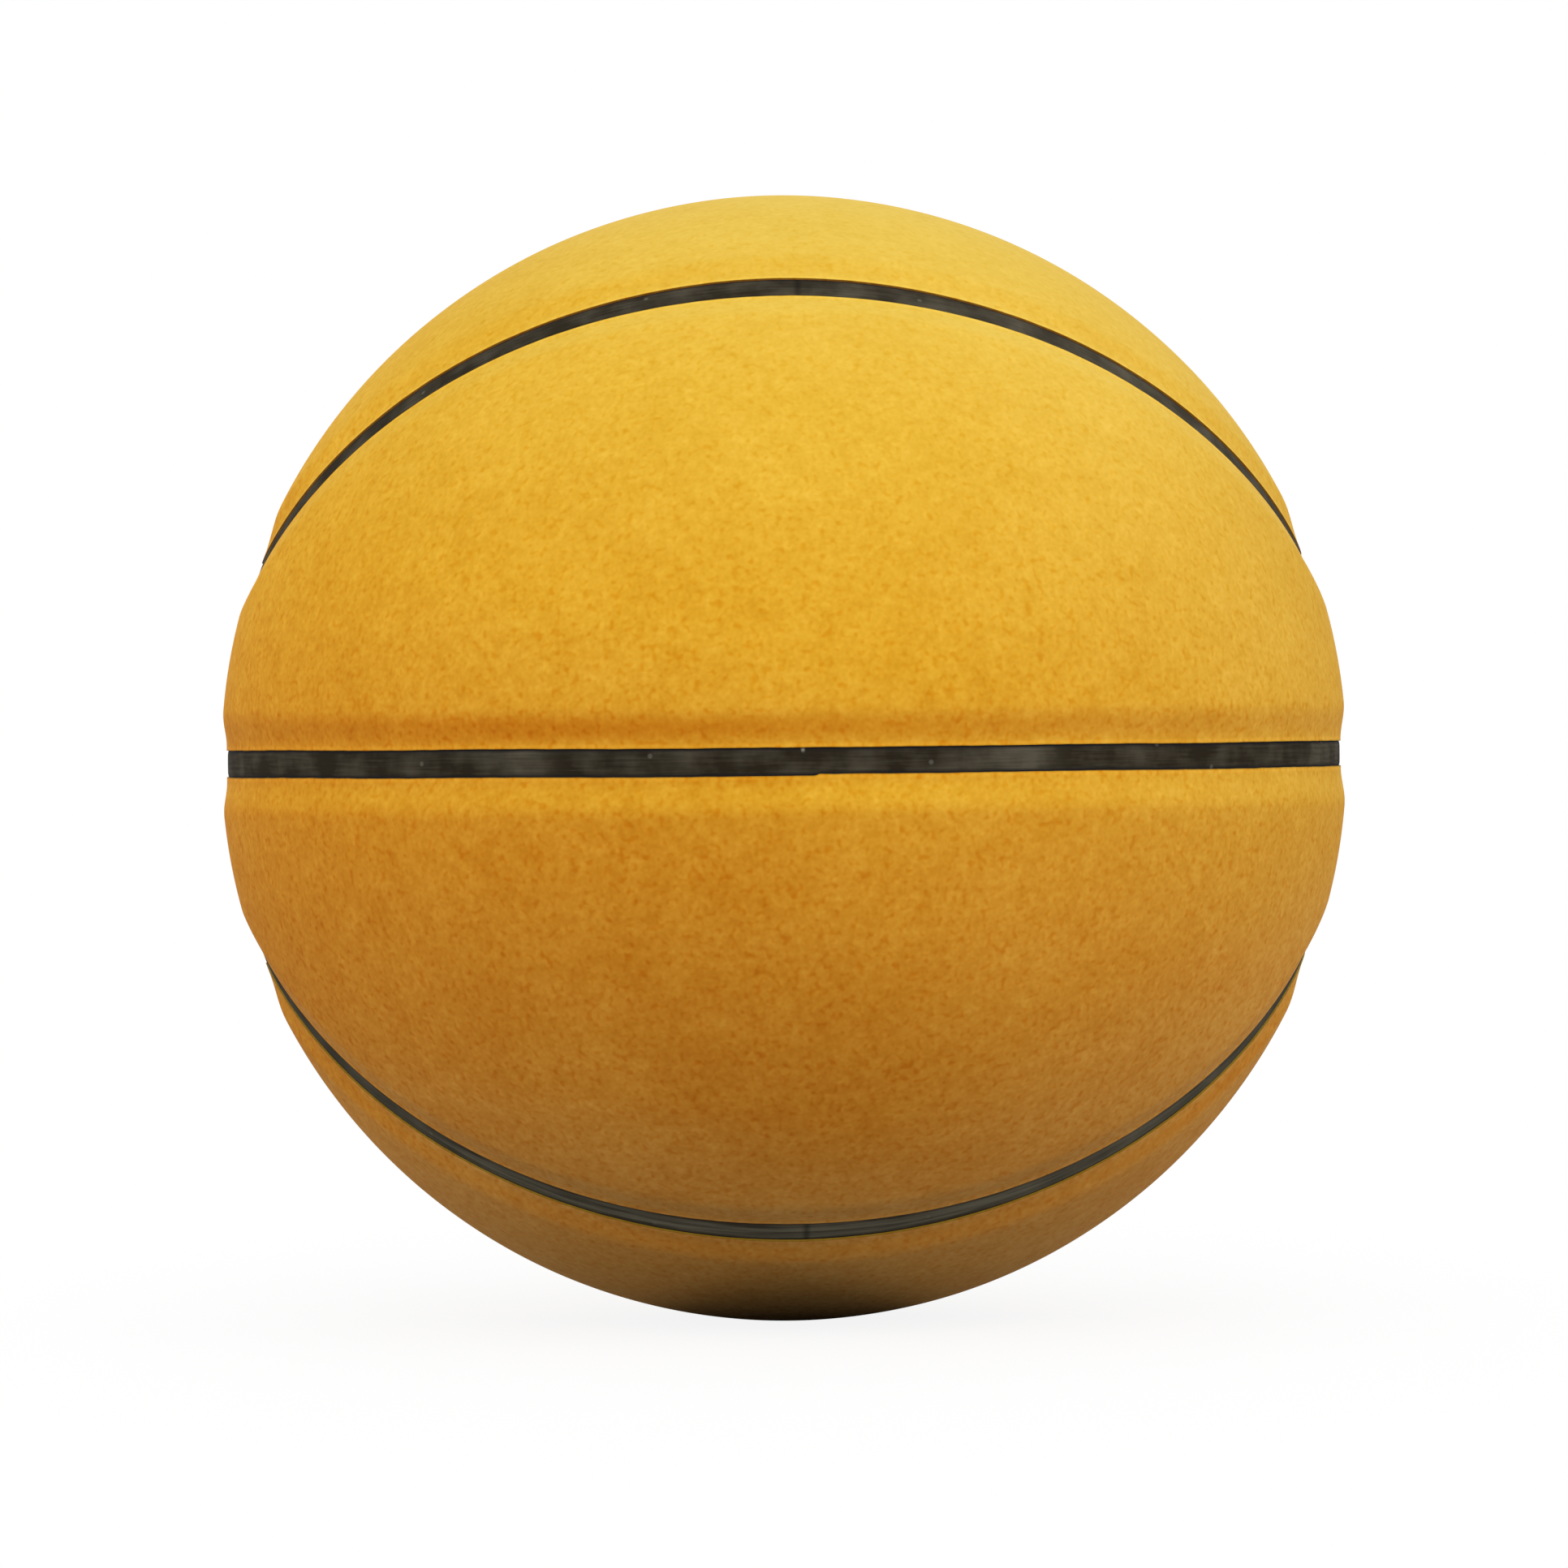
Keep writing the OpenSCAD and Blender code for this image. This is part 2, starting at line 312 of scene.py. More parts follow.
def nappedLeather(name, spot):
    # Dyed cowhide, brushed to a short nap: wholly matt, with soft clouds and fine tufts and no gloss
    material, tree = newMaterial(name)
    laid = addNode(tree, "ShaderNodeTexCoord").outputs
    moved = addNode(tree, "ShaderNodeMapping", {"Location": spot},
                    {"Vector": laid["Object"]}).outputs["Vector"]
    # painted light: the colour changes with the way the surface faces, paler and yellower towards the light
    # above
    facing = addNode(tree, "ShaderNodeVectorMath", {1: leather["paintedLightFrom"]}, {0: laid["Normal"]},
                     operation="DOT_PRODUCT").outputs["Value"]
    rise = addNode(tree, "ShaderNodeMapRange", {"From Min": -1.0}, {"Value": facing}).outputs["Result"]
    dyeAndPaintedLight = addNode(tree, "ShaderNodeValToRGB", links={"Fac": rise},
                  stops=[(place, linearColour(code)) for place, code in leather["dyeAndPaintedLight"]]).outputs["Color"]
    for side, colour, share, start, full in leather["paintedPaleSides"]:
        towards = addNode(tree, "ShaderNodeVectorMath", {1: side}, {0: laid["Normal"]},
                          operation="DOT_PRODUCT").outputs["Value"]
        paintedPaling = addNode(tree, "ShaderNodeMapRange",
                            {"From Min": start, "From Max": full, "To Max": share},
                            {"Value": towards}).outputs["Result"]
        dyeAndPaintedLight = addNode(tree, "ShaderNodeMix", {7: linearColour(colour)}, {0: paintedPaling, 6: dyeAndPaintedLight},
                      data_type="RGBA").outputs[2]
    uneven = None
    for size, layers, strength, share in leather["tufts"]:
        tuft = addNode(tree, "ShaderNodeTexNoise",
                       {"Scale": 1 / size, "Detail": layers, "Roughness": strength},
                       {"Vector": moved}).outputs["Fac"]
        below = {2: uneven} if uneven else {}
        uneven = addNode(tree, "ShaderNodeMath", {1: share, 2: 0.0}, {0: tuft, **below},
                         operation="MULTIPLY_ADD").outputs[0]
    # every noise varies about a half
    middle = sum(tuft[3] for tuft in leather["tufts"]) / 2
    centred = addNode(tree, "ShaderNodeMath", {1: middle}, {0: uneven}, operation="SUBTRACT").outputs[0]
    calm = addNode(tree, "ShaderNodeMapRange",
                   {"From Min": leather["calmFrom"], "To Min": 1.0, "To Max": leather["calm"]},
                   {"Value": rise}).outputs["Result"]
    blotch = addNode(tree, "ShaderNodeMath", links={0: centred, 1: calm}, operation="MULTIPLY").outputs[0]
    span = {"From Min": -0.5, "From Max": 0.5}
    strength = addNode(tree, "ShaderNodeMapRange",
                       {**span, "To Min": 1 + leather["depth"] / 2, "To Max": 1 - leather["depth"] / 2},
                       {"Value": blotch}).outputs["Result"]
    pores = addNode(tree, "ShaderNodeTexNoise", {"Scale": 1 / leather["pore"], "Detail": 0.0},
                    {"Vector": moved}).outputs["Fac"]
    pore = addNode(tree, "ShaderNodeMapRange",
                   {"From Min": leather["poreFrom"], "From Max": leather["poreTo"],
                    "To Max": leather["poreDepth"]}, {"Value": pores}).outputs["Result"]
    edge = addNode(tree, "ShaderNodeAttribute", attribute_name="edgeDistance").outputs["Fac"]
    # painted shade on the rolled edges that face a little down, less of it on the ball's left side
    foot = addNode(tree, "ShaderNodeMapRange", {"From Max": seams["shoulder"] * leather["paintedShadeFoot"]},
                   {"Value": edge}, interpolation_type="SMOOTHSTEP").outputs["Result"]
    brow = addNode(tree, "ShaderNodeMapRange",
                   {"From Min": seams["shoulder"] * leather["paintedShadeBrow"], "From Max": seams["shoulder"],
                    "To Min": 1.0, "To Max": 0.0},
                   {"Value": edge}, interpolation_type="SMOOTHSTEP").outputs["Result"]
    tilted = addNode(tree, "ShaderNodeMath", {1: leather["paintedShadeAt"]}, {0: rise},
                     operation="SUBTRACT").outputs[0]
    offTilt = addNode(tree, "ShaderNodeMath", links={0: tilted}, operation="ABSOLUTE").outputs[0]
    under = addNode(tree, "ShaderNodeMapRange",
                    {"From Max": leather["paintedShadeSpan"], "To Min": leather["paintedShoulderShade"], "To Max": 0.0},
                    {"Value": offTilt}).outputs["Result"]
    sideways = addNode(tree, "ShaderNodeSeparateXYZ", links={0: laid["Normal"]}).outputs["X"]
    aside = addNode(tree, "ShaderNodeMapRange",
                    {"From Min": leather["leftFrom"], "From Max": leather["leftTo"],
                     "To Min": leather["paintedShadeLeft"]}, {"Value": sideways}).outputs["Result"]
    rolledShare = addNode(tree, "ShaderNodeMath", links={0: foot, 1: brow}, operation="MULTIPLY").outputs[0]
    paintedShadeShare = addNode(tree, "ShaderNodeMath", links={0: rolledShare, 1: aside},
                        operation="MULTIPLY").outputs[0]
    unevenAndPaintedShade = addNode(tree, "ShaderNodeMath", links={0: paintedShadeShare, 1: under, 2: strength},
                     operation="MULTIPLY_ADD").outputs[0]
    dyeingWithPaintedShade = addNode(tree, "ShaderNodeMath", links={0: pore, 1: calm, 2: unevenAndPaintedShade},
                     operation="MULTIPLY_ADD").outputs[0]
    dyedWithPaintedLight = addNode(tree, "ShaderNodeGamma", links={"Color": dyeAndPaintedLight, "Gamma": dyeingWithPaintedShade}).outputs["Color"]
    lift = addNode(tree, "ShaderNodeMapRange",
                   {**span, "To Min": 1 - leather["shade"] / 2, "To Max": 1 + leather["shade"] / 2},
                   {"Value": blotch}).outputs["Result"]
    # painted highlight along the cut edge
    paintedEdgeHighlight = addNode(tree, "ShaderNodeMapRange",
                     {"From Min": leather["paleFrom"], "From Max": leather["paleTo"],
                      "To Min": leather["pale"], "To Max": 1.0}, {"Value": edge}).outputs["Result"]
    # painted shade on the cut wall below the edge
    paintedWallShade = addNode(tree, "ShaderNodeMapRange",
                   {"From Max": leather["wallWidth"], "To Min": leather["paintedWallTone"], "To Max": 1.0},
                   {"Value": edge}).outputs["Result"]
    paintedEdgeLightAndShade = addNode(tree, "ShaderNodeMath", links={0: paintedWallShade, 1: paintedEdgeHighlight}, operation="MULTIPLY").outputs[0]
    lifted = addNode(tree, "ShaderNodeMath", links={0: lift, 1: paintedEdgeLightAndShade}, operation="MULTIPLY").outputs[0]
    shaded = addNode(tree, "ShaderNodeMix", {0: 1.0}, {6: dyedWithPaintedLight, 7: lifted}, data_type="RGBA",
                     blend_type="MULTIPLY").outputs[2]
    nap = addNode(tree, "ShaderNodeTexNoise", {"Scale": 1 / leather["nap"], "Detail": 2.0},
                  {"Vector": moved}).outputs["Fac"]
    bump = addNode(tree, "ShaderNodeBump",
                   {"Strength": leather["napStrength"], "Distance": leather["napHeight"]},
                   {"Height": nap}).outputs["Normal"]
    shader = addNode(tree, "ShaderNodeBsdfPrincipled",
                     {"Roughness": leather["roughness"], "Specular IOR Level": leather["gloss"],
                      "Sheen Weight": leather["bloomWeight"], "Sheen Roughness": leather["bloomSpread"],
                      "Sheen Tint": linearColour(leather["bloom"])},
                     {"Base Color": shaded, "Normal": bump})
    addNode(tree, "ShaderNodeOutputMaterial", links={"Surface": shader.outputs["BSDF"]})
    return material


rubber = dict(
    face="#2A241A",                        # the strip where it is clean, a brownish black
    scuff="#575144",                       # where the floor has scuffed it grey
    edge="#1F1F24",                        # painted shade along its sides, next to the leather's rolled edges
    edgeFrom=0.0002,                       # between these distances that tone goes over into the rest
    edgeTo=0.0008,
    edgeShare=0.9,                         # how fully it covers the sides
    patch=0.009,                           # size of the scuffed patches
    scuffFrom=0.6,                         # level of the unevenness at which a scuff begins
    scuffTo=1.1,
    groove=0.0006,                         # spacing of the fine lines along it
    drag=0.014,                            # length of a line
    lineShare=0.4,
    grooveDepth=0.0001,
    grooveStrength=0.4,
    nick="#8F8A7E",                        # small pale nicks
    nickSpacing=0.018,
    nickFrom=0.0175,                       # where they begin to fade and where they end, by their spacing
    nickTo=0.035,
    nickShare=0.25,
    dust="#83806F",                        # pale dust that stays in the scuffed lines
    dusting=dict(upper=0.02, lower=0.45),  # how much of it lies on each loop
    dusty=(0, 0, 0.16, 1.0, 1.3),          # it lies thickest round the front
    dustWidth=0.0014,                      # width and length of a dusty streak
    dustLength=0.03,
    dustLevel=((0.35, 0.3), (0.65, 1.5)),  # levels of the streaks, and the share of the dust at each
    joint="#0E0D0C",                       # the butt joint of a loop, just right of its front
    jointMark=(0.0028, 0, 0.0012, 0.02, 0.55),
    # marks of the equator strip: place along it from the front, place above its middle, half length,
    # half width, strength
    scuffs=((-0.057, 0, 0.011, 0.02, 0.7), (0.046, 0, 0.017, 0.02, 0.9), (0.148, 0, 0.012, 0.02, 0.8)),
    chip=(0.0021, 0.0025, 0.0006, 0.0008, 1.0),
    loopScuff=(0.08, 0, 0.1, 0.05, 0.55),  # the loops are worn greyer on the right
    roughness=0.85,
    gloss=0.04,
)


def stripMark(tree, laid, mark):
    # the strength of one mark, from its middle to nothing at its rim
    along, above, halfLength, halfWidth, strength = mark
    scaled = addNode(tree, "ShaderNodeMapping",
                     {"Location": (-along / halfLength, -above / halfWidth, 0),
                      "Scale": (1 / halfLength, 1 / halfWidth, 0)}, {"Vector": laid}).outputs["Vector"]
    away = addNode(tree, "ShaderNodeVectorMath", links={0: scaled}, operation="LENGTH").outputs["Value"]
    return addNode(tree, "ShaderNodeMapRange", {"To Min": strength, "To Max": 0.0}, {"Value": away},
                   interpolation_type="SMOOTHSTEP").outputs["Result"]


def channelRubber(name, half, scuffs=(), chips=(), joints=(), dusting=0.0):
    # Extruded black rubber: dull, with fine lines along it, grey scuffs from the floor and a few pale nicks
    material, tree = newMaterial(name)
    unrolled = addNode(tree, "ShaderNodeUVMap", uv_map="UVMap").outputs["UV"]
    # a ring is measured both ways from its start, over half its length
    laid = addNode(tree, "ShaderNodeVectorMath", {1: (half, 1, 1), 2: (-half, -1, -1)}, {0: unrolled},
                   operation="WRAP").outputs["Vector"]
    lengthwise = addNode(tree, "ShaderNodeMapping", {"Scale": (1 / rubber["drag"], 1 / rubber["groove"], 1)},
                         {"Vector": laid}).outputs["Vector"]
    lines = addNode(tree, "ShaderNodeTexNoise", {"Scale": 1.0, "Detail": 3.0},
                    {"Vector": lengthwise}).outputs["Fac"]
    patches = addNode(tree, "ShaderNodeTexNoise", {"Scale": 1 / rubber["patch"], "Detail": 3.0},
                      {"Vector": laid}).outputs["Fac"]
    worn = addNode(tree, "ShaderNodeMath", {1: rubber["lineShare"]}, {0: lines, 2: patches},
                   operation="MULTIPLY_ADD").outputs[0]
    wear = addNode(tree, "ShaderNodeMapRange",
                   {"From Min": rubber["scuffFrom"], "From Max": rubber["scuffTo"]},
                   {"Value": worn}).outputs["Result"]
    for mark in scuffs:
        wear = addNode(tree, "ShaderNodeMath", links={0: stripMark(tree, laid, mark), 1: worn, 2: wear},
                       operation="MULTIPLY_ADD").outputs[0]
    scuffed = addNode(tree, "ShaderNodeMix",
                      {6: linearColour(rubber["face"]), 7: linearColour(rubber["scuff"])},
                      {0: wear}, data_type="RGBA").outputs[2]
    across = addNode(tree, "ShaderNodeAttribute", attribute_name="edgeDistance").outputs["Fac"]
    drawn = addNode(tree, "ShaderNodeMapping",
                    {"Scale": (1 / rubber["dustLength"], 1 / rubber["dustWidth"], 1)},
                    {"Vector": laid}).outputs["Vector"]
    streaks = addNode(tree, "ShaderNodeTexNoise", {"Scale": 1.0, "Detail": 2.0},
                      {"Vector": drawn}).outputs["Fac"]
    (low, little), (high, much) = rubber["dustLevel"]
    settled = addNode(tree, "ShaderNodeMapRange",
                      {"From Min": low, "From Max": high,
                       "To Min": dusting * little, "To Max": dusting * much},
                      {"Value": streaks}).outputs["Result"]
    inside = addNode(tree, "ShaderNodeMapRange", {"From Max": rubber["dustWidth"]},
                     {"Value": across}).outputs["Result"]
    kept = addNode(tree, "ShaderNodeMath", links={0: settled, 1: inside}, operation="MULTIPLY").outputs[0]
    dustShare = addNode(tree, "ShaderNodeMath", links={0: kept, 1: stripMark(tree, laid, rubber["dusty"])},
                        operation="MULTIPLY").outputs[0]
    dusted = addNode(tree, "ShaderNodeMix", {7: linearColour(rubber["dust"])}, {0: dustShare, 6: scuffed},
                     data_type="RGBA").outputs[2]
    # painted shade: the strip darkens towards its sides
    paintedSideShade = addNode(tree, "ShaderNodeMapRange",
                       {"From Min": rubber["edgeFrom"], "From Max": rubber["edgeTo"],
                        "To Min": rubber["edgeShare"], "To Max": 0.0}, {"Value": across}).outputs["Result"]
    toned = addNode(tree, "ShaderNodeMix", {7: linearColour(rubber["edge"])}, {0: paintedSideShade, 6: dusted},
                    data_type="RGBA").outputs[2]
    cell = addNode(tree, "ShaderNodeTexVoronoi", {"Scale": 1 / rubber["nickSpacing"]}, {"Vector": laid},
                   voronoi_dimensions="2D").outputs["Distance"]
    nicks = addNode(tree, "ShaderNodeMapRange",
                    {"From Min": rubber["nickFrom"], "From Max": rubber["nickTo"],
                     "To Min": rubber["nickShare"], "To Max": 0.0}, {"Value": cell}).outputs["Result"]
    for mark in chips:
        nicks = addNode(tree, "ShaderNodeMath", links={0: stripMark(tree, laid, mark), 1: nicks},
                        operation="MAXIMUM").outputs[0]
    nicked = addNode(tree, "ShaderNodeMix", {7: linearColour(rubber["nick"])}, {0: nicks, 6: toned},
                     data_type="RGBA").outputs[2]
    for mark in joints:
        nicked = addNode(tree, "ShaderNodeMix", {7: linearColour(rubber["joint"])},
                         {0: stripMark(tree, laid, mark), 6: nicked}, data_type="RGBA").outputs[2]
    bump = addNode(tree, "ShaderNodeBump",
                   {"Strength": rubber["grooveStrength"], "Distance": rubber["grooveDepth"]},
                   {"Height": lines}).outputs["Normal"]
    shader = addNode(tree, "ShaderNodeBsdfPrincipled",
                     {"Roughness": rubber["roughness"], "Specular IOR Level": rubber["gloss"]},
                     {"Base Color": nicked, "Normal": bump})
    addNode(tree, "ShaderNodeOutputMaterial", links={"Surface": shader.outputs["BSDF"]})
    return material


moulded = dict(
    darkest=0.8,                           # how far the fine texture darkens and lightens the rubber
    lightest=1.25,
    grain=0.0001,                          # its height
    grainStrength=0.2,
)


def mouldedRubber(name, hexCode, roughness, fleck):
    # Moulded rubber: an even black with the faint fine texture of its mould
    material, tree = newMaterial(name)
    place = addNode(tree, "ShaderNodeTexCoord").outputs["Object"]
    grain = addNode(tree, "ShaderNodeTexNoise", {"Scale": 1 / fleck, "Detail": 3.0},
                    {"Vector": place}).outputs["Fac"]
    lift = addNode(tree, "ShaderNodeMapRange", {"To Min": moulded["darkest"], "To Max": moulded["lightest"]},
                   {"Value": grain}).outputs["Result"]
    colour = addNode(tree, "ShaderNodeMix", {0: 1.0, 6: linearColour(hexCode)}, {7: lift}, data_type="RGBA",
                     blend_type="MULTIPLY").outputs[2]
    bump = addNode(tree, "ShaderNodeBump",
                   {"Strength": moulded["grainStrength"], "Distance": moulded["grain"]},
                   {"Height": grain}).outputs["Normal"]
    shader = addNode(tree, "ShaderNodeBsdfPrincipled", {"Roughness": roughness},
                     {"Base Color": colour, "Normal": bump})
    addNode(tree, "ShaderNodeOutputMaterial", links={"Surface": shader.outputs["BSDF"]})
    return material


thread = dict(
    # the directions in which the turns follow each other
    ways=((1, 0.3, 0.2), (-0.4, 1, 0.5), (0.3, -0.6, 1)),
    gapTone=0.5,                           # how dark the latex between the turns is
    turnStrength=0.6,
    roughness=0.6,
)


def woundThread(name, hexCode, spacing):
    # Nylon thread wound round the bladder every way and bonded with latex: fine turns that cross each other
    material, tree = newMaterial(name)
    place = addNode(tree, "ShaderNodeTexCoord").outputs["Object"]
    turns = None
    for way in thread["ways"]:
        turned = addNode(tree, "ShaderNodeVectorMath", {1: way}, {0: place},
                         operation="DOT_PRODUCT").outputs["Value"]
        ridge = addNode(tree, "ShaderNodeMath", {1: spacing}, {0: turned}, operation="PINGPONG").outputs[0]
        turns = addNode(tree, "ShaderNodeMath", {1: 0.0}, {0: ridge, **({1: turns} if turns else {})},
                        operation="MAXIMUM").outputs[0]
    height = addNode(tree, "ShaderNodeMapRange", {"From Max": spacing}, {"Value": turns}).outputs["Result"]
    lift = addNode(tree, "ShaderNodeMapRange", {"To Min": thread["gapTone"]},
                   {"Value": height}).outputs["Result"]
    colour = addNode(tree, "ShaderNodeMix", {0: 1.0, 6: linearColour(hexCode)}, {7: lift}, data_type="RGBA",
                     blend_type="MULTIPLY").outputs[2]
    bump = addNode(tree, "ShaderNodeBump", {"Strength": thread["turnStrength"], "Distance": spacing},
                   {"Height": height}).outputs["Normal"]
    shader = addNode(tree, "ShaderNodeBsdfPrincipled", {"Roughness": thread["roughness"]},
                     {"Base Color": colour, "Normal": bump})
    addNode(tree, "ShaderNodeOutputMaterial", links={"Surface": shader.outputs["BSDF"]})
    return material


# The cover panels

panelGrid = dict(
    shoulderRows=12,
    middleRows=44,
    columnStep=0.0016,                     # spacing of the columns between the shoulders
    fineStep=0.0004,                       # finer columns at the middle, where the valve or a joint is
    fineReach=0.013,
    shoulderMost=0.4,                      # the most of a narrow panel's height that one shoulder may take
    tipAngle=1e-6,                         # at a crescent's tips its two edges meet in one point
)


def rolled(distance):
    # 1 at a panel's cut edge, 0 from the end of its shoulder on
    share = min(max(distance / seams["shoulder"], 0), 1)
    return (1 + math.cos(math.pi * share)) / 2


def edgeDistances(direction, above, atBack):
    # from a point to the panel edges at the equator, the cross channel and the loop
    side = 1 if atBack else -1
    angle = side * math.atan2(direction.y, direction.x)
    equator = math.asin(direction.z) * ball["crown"] - equatorHalfWidth(angle, above)
    if atBack:
        equator = min(equator, math.acos(min(direction.y, 1)) * ball["crown"] - seams["padRadius"])
    cross = math.asin(direction.y) * ball["crown"] - seams["crossHalf"]
    _, index, chord = loopTree.find(direction)
    loopAngle = side * math.tau * index / loopSamples
    loop = 2 * math.asin(chord / 2) * ball["crown"] - loopHalfWidth(loopAngle)
    return equator, cross, loop


def rowPlaces(total):
    # close together over the shoulders, even between them
    count = panelGrid["shoulderRows"]
    shoulder = min(seams["shoulder"], total * panelGrid["shoulderMost"])
    places = [shoulder * k / count for k in range(count)]
    gaps = panelGrid["middleRows"]
    middle = [shoulder + (total - 2 * shoulder) * k / gaps for k in range(gaps + 1)]
    return places + middle + [total - p for p in reversed(places)]


def columnPlaces(total):
    half = total / 2
    places = [0]
    while places[-1] < half:
        place = places[-1]
        step = panelGrid["columnStep"]
        if place < seams["shoulder"]:
            step = seams["shoulder"] / panelGrid["shoulderRows"]
        if half - place < panelGrid["fineReach"]:
            step = panelGrid["fineStep"]
        places.append(min(place + step, half))
    return places + [total - p for p in reversed(places[:-1])]


def layPanel(name, lowerPath, upperPath, above, atBack):
    lowerTotal = lowerPath[1][-1]
    upperTotal = upperPath[1][-1]
    turned = Vector((1, 1 if atBack else -1, 1 if above else -1))
    columns = []
    for place in columnPlaces(lowerTotal):
        low = alongPath(lowerPath, place)
        if place < seams["shoulder"]:
            high = alongPath(upperPath, place)
        elif lowerTotal - place < seams["shoulder"]:
            high = alongPath(upperPath, upperTotal - (lowerTotal - place))
        else:
            share = (place - seams["shoulder"]) / (lowerTotal - 2 * seams["shoulder"])
            high = alongPath(upperPath, seams["shoulder"] + share * (upperTotal - 2 * seams["shoulder"]))
        angle = low.angle(high, 0)
        height = angle * ball["crown"]
        column = []
        for row in rowPlaces(height):
            direction = low.slerp(high, row / height, low) if angle > panelGrid["tipAngle"] else low.copy()
            distances = edgeDistances(direction, above, atBack)
            kept = 1
            for distance in distances:
                kept *= 1 - rolled(distance)
            side = settle(Vector(a * b for a, b in zip(direction, turned)))
            sunk = 0.5 + 0.5 * noise.noise(side * ball["crown"] / lay["unevenLength"])
            radius = ball["crown"] - seams["shoulderDrop"] * (1 - kept) - lay["uneven"] * sunk * kept
            column.append((side * radius, place, row, min(distances)))
        columns.append(column)
    return layOnBall(name, columns)


def sidePanelPaths(above, atBack):
    side = 1 if atBack else -1

    def lowEdge(angle):
        return besideEquator(angle, equatorHalfWidth(side * angle, above))

    def highEdge(angle):
        return besideLoop(angle, -loopHalfWidth(side * angle))

    lowStart = angleAtCross(lowEdge)
    highStart = angleAtCross(highEdge)
    return (pathTable(lowEdge, lowStart, math.pi - lowStart),
            pathTable(highEdge, highStart, math.pi - highStart))


def crescentPaths(atBack):
    side = 1 if atBack else -1

    def lowEdge(angle):
        return besideLoop(angle, loopHalfWidth(side * angle))

    def highEdge(angle):
        return besideCross(angle, seams["crossHalf"])

    lowStart = angleAtCross(lowEdge)
    corner = lowEdge(lowStart)
    highStart = math.atan2(corner.z, corner.x)
    return (pathTable(lowEdge, lowStart, math.pi - lowStart),
            pathTable(highEdge, highStart, math.pi - highStart))


# The rubber strips

strip = dict(
    # places across it, closer together towards the edges
    shares=(-1, -0.93, -0.82, -0.68, -0.45, -0.2, 0, 0.2, 0.45, 0.68, 0.82, 0.93, 1),
    edgeDip=0.00016,                       # how far the strip's edges fall below its face
    dipWidth=0.0011,
    step=0.0012,                           # spacing of the columns along it, and round the valve
    valveStep=0.00035,
    valveReach=0.009,
    valveHole=0.004,                       # radius of the hole round the valve
    holeSides=96,
    drillLength=0.02,
)


def layStrip(name, pointAt, halfWidthsAt, angles, turned, ring):
    columns = []
    along = 0
    before = None
    for angle in angles:
        middle = pointAt(angle, 0)
        if before is not None:
            along += middle.angle(before, 0) * ball["crown"]
        before = middle
        lowerHalf, upperHalf = halfWidthsAt(angle)
        column = []
        for share in strip["shares"]:
            half = upperHalf if share > 0 else lowerHalf
            direction = pointAt(angle, share * half)
            direction = settle(Vector(a * b for a, b in zip(direction, turned)))
            edge = (1 - abs(share)) * half
            fall = max(0, 1 - edge / strip["dipWidth"])
            radius = ball["strip"] - strip["edgeDip"] * fall * fall
            column.append((direction * radius, along, share * half, edge))
        columns.append(column)
    return layOnBall(name, columns, ring)


def evenAngles(start, end, fineAt=None):
    angles = [start]
    while angles[-1] < end:
        step = strip["step"]
        if fineAt is not None and abs(angles[-1] - fineAt) * ball["crown"] < strip["valveReach"]:
            step = strip["valveStep"]
        angles.append(min(angles[-1] + step / ball["crown"], end))
    return angles


def equatorHalves(angle):
    turned = math.remainder(angle, math.tau)
    return equatorHalfWidth(turned, False), equatorHalfWidth(turned, True)


def loopHalves(angle):
    return loopHalfWidth(angle), loopHalfWidth(angle)


def crossHalves(_):
    return seams["crossHalf"], seams["crossHalf"]


def finishPiece(piece, nodeName, material):
    piece.data.materials.append(material)
    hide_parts(nodeName)
    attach(piece, "root")


def coverPanel(name, paths, above, atBack, cut):
    lowerPath, upperPath = paths
    piece = layPanel(name + "_leather", lowerPath, upperPath, above, atBack)
    spot = (cut[0] * above, cut[1] * atBack, cut[2])
    finishPiece(piece, name, nappedLeather(name + "_nap", spot))


print("laying the panels")
for above, height in ((True, "upper"), (False, "lower")):
    for atBack, depth in ((False, "front"), (True, "back")):
        coverPanel("panel_%s_%s" % (height, depth), sidePanelPaths(above, atBack), above, atBack,
                   leather["sideCut"])
for above, height in ((True, "top"), (False, "bottom")):
    for atBack, depth in ((False, "front"), (True, "back")):
        coverPanel("panel_%s_%s" % (height, depth), crescentPaths(atBack), above, atBack,
                   leather["crescentCut"])

print("laying the strips")
front = -math.pi / 2
halfRound = math.pi * ball["crown"]
stripRubber = channelRubber("extruded_rubber", halfRound)
equator = layStrip("equator_strip", besideEquator, equatorHalves,
                   evenAngles(front, front + math.tau, math.pi / 2), Vector((1, 1, 1)), True)
drill = bmesh.new()
bmesh.ops.create_cone(drill, cap_ends=True, segments=strip["holeSides"], radius1=strip["valveHole"],
                      radius2=strip["valveHole"], depth=strip["drillLength"],
                      matrix=Matrix.Translation((0, ball["strip"], 0)) @ Matrix.Rotation(math.pi / 2, 4, "X"))
drillMesh = bpy.data.meshes.new("valve_hole")
drill.to_mesh(drillMesh)
drill.free()
drillPiece = bpy.data.objects.new("valve_hole", drillMesh)
scene.collection.objects.link(drillPiece)
cut = equator.modifiers.new("hole", "BOOLEAN")
cut.operation = "DIFFERENCE"
cut.object = drillPiece
bpy.context.view_layer.update()
holed = bpy.data.meshes.new_from_object(equator.evaluated_get(bpy.context.evaluated_depsgraph_get()))
equator.modifiers.clear()
equator.data = holed
bpy.data.objects.remove(drillPiece)
finishPiece(equator, "equator_channel",
            channelRubber("scuffed_rubber", halfRound, rubber["scuffs"], [rubber["chip"]]))

